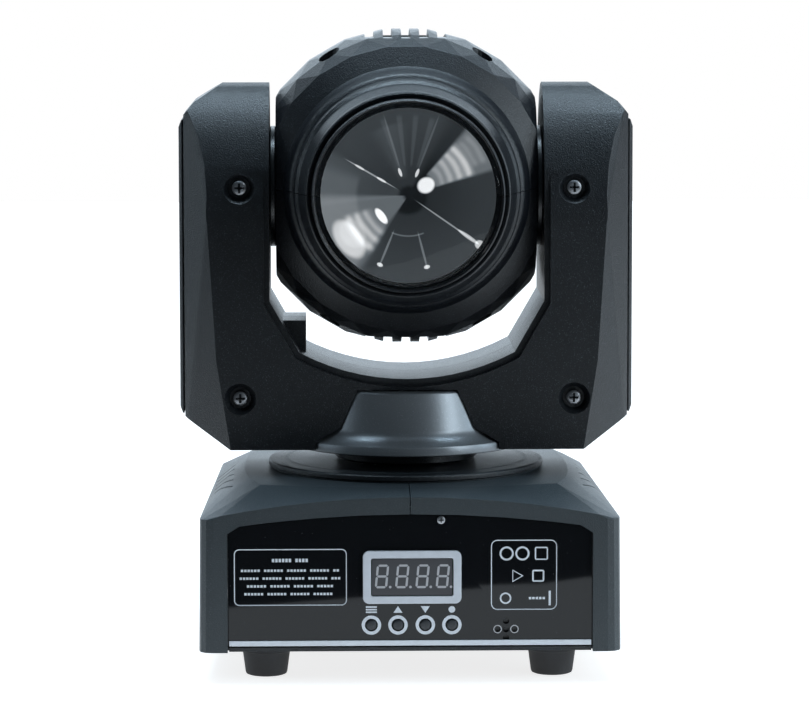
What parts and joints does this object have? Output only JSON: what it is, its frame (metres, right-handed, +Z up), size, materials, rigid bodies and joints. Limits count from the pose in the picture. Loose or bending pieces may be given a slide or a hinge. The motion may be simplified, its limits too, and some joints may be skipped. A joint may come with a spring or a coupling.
{
  "type": "moving head light",
  "caption": "Small moving head stage light: square base with display and buttons, panning U-shaped yoke, tilting faceted head with a round lens.",
  "frame": {"origin": "on the floor under the feet, on the pan axis", "axes": "+Z up along the pan axis; the lens and the display face -Y; +X is to the right of someone facing the display"},
  "size_m": [0.178, 0.16, 0.2457],
  "materials": {
    "shell_plastic": "fine-textured satin black",
    "gloss_black": "glossy black",
    "pale_plastic": "satin pale grey",
    "display_face": "smoked grey window",
    "hub_satin": "smooth satin black",
    "lens_glass": "polished clear",
    "black_rubber": "matte rubber",
    "circuit_board": "solder mask",
    "bare_aluminium": "machined",
    "steel": "plated"
  },
  "bodies": {
    "base": {"base_shell_left": "shell_plastic", "base_shell_right": "shell_plastic", "bottom_plate": "shell_plastic", "foot_front_left": "black_rubber", "foot_front_right": "black_rubber", "foot_rear_left": "black_rubber", "foot_rear_right": "black_rubber", "front_panel": "gloss_black", "panel_trim_strip": "pale_plastic", "display_bezel": "pale_plastic", "display_module": "display_face", "panel_screw": "steel", "control_board": "circuit_board", "microphone": "steel", "rear_panel": "shell_plastic", "power_inlet": "gloss_black", "data_in_socket": "steel", "data_out_socket": "steel", "power_supply_board": "circuit_board", "pan_bearing": "steel", "pan_motor": "steel", "pan_belt": "black_rubber"},
    "yoke": {"yoke_front_shell": "shell_plastic", "yoke_rear_shell": "shell_plastic", "yoke_screw_lower_left": "steel", "yoke_screw_lower_right": "steel", "yoke_screw_upper_left": "steel", "yoke_screw_upper_right": "steel", "side_cover_left": "shell_plastic", "side_cover_right": "shell_plastic", "tilt_bearing_left": "steel", "tilt_bearing_right": "steel", "hub_bell": "hub_satin", "pan_shaft": "steel", "pan_pulley": "bare_aluminium", "yoke_frame": "steel", "tilt_motor": "steel", "tilt_belt": "black_rubber"},
    "head": {"head_shell_upper": "shell_plastic", "head_shell_lower": "shell_plastic", "lens_ring_upper": "shell_plastic", "lens_ring_lower": "shell_plastic", "lens": "lens_glass", "light_cup": "bare_aluminium", "led_board": "circuit_board", "heat_sink": "bare_aluminium", "fan_frame": "shell_plastic", "rear_grille": "shell_plastic", "tilt_axle_left": "steel", "tilt_axle_right": "steel", "head_screw_left": "steel", "head_screw_right": "steel", "tilt_pulley": "bare_aluminium"},
    "fan": {"fan_rotor": "gloss_black"},
    "pan_drive": {"pan_motor_pulley": "bare_aluminium"},
    "tilt_drive": {"tilt_motor_pulley": "bare_aluminium"},
    "button_menu": {"button_menu": "shell_plastic"},
    "button_up": {"button_up": "shell_plastic"},
    "button_down": {"button_down": "shell_plastic"},
    "button_enter": {"button_enter": "shell_plastic"}
  },
  "joints": [
    {"name": "pan", "type": "hinge", "parent": "base", "child": "yoke", "pos_m": [0, 0, 0.08], "axis": [0, 0, 1], "range_deg": [-270, 270]},
    {"name": "tilt", "type": "hinge", "parent": "yoke", "child": "head", "pos_m": [0, 0, 0.184], "axis": [-1, 0, 0], "range_deg": [-15, 195]},
    {"name": "pan_motor_spin", "type": "hinge", "parent": "base", "child": "pan_drive", "pos_m": [-0.046, 0.008, 0.062], "axis": [0, 0, 1], "range_deg": [-972, 972]},
    {"name": "tilt_motor_spin", "type": "hinge", "parent": "yoke", "child": "tilt_drive", "pos_m": [0.08, 0, 0.128], "axis": [-1, 0, 0], "range_deg": [-45, 585]},
    {"name": "fan_spin", "type": "hinge", "parent": "head", "child": "fan", "pos_m": [0, 0.034, 0.184], "axis": [0, 1, 0], "continuous": true},
    {"name": "button_menu_press", "type": "slide", "parent": "base", "child": "button_menu", "axis": [0, 1, 0], "range_m": [0, 0.0006], "stiffness_N_per_m": 2500, "springref_m": -0.0004},
    {"name": "button_up_press", "type": "slide", "parent": "base", "child": "button_up", "axis": [0, 1, 0], "range_m": [0, 0.0006], "stiffness_N_per_m": 2500, "springref_m": -0.0004},
    {"name": "button_down_press", "type": "slide", "parent": "base", "child": "button_down", "axis": [0, 1, 0], "range_m": [0, 0.0006], "stiffness_N_per_m": 2500, "springref_m": -0.0004},
    {"name": "button_enter_press", "type": "slide", "parent": "base", "child": "button_enter", "axis": [0, 1, 0], "range_m": [0, 0.0006], "stiffness_N_per_m": 2500, "springref_m": -0.0004}
  ],
  "couplings": [
    {"joint": "pan_motor_spin", "follows": "pan", "ratio": 3.6},
    {"joint": "tilt_motor_spin", "follows": "tilt", "ratio": 3}
  ]
}
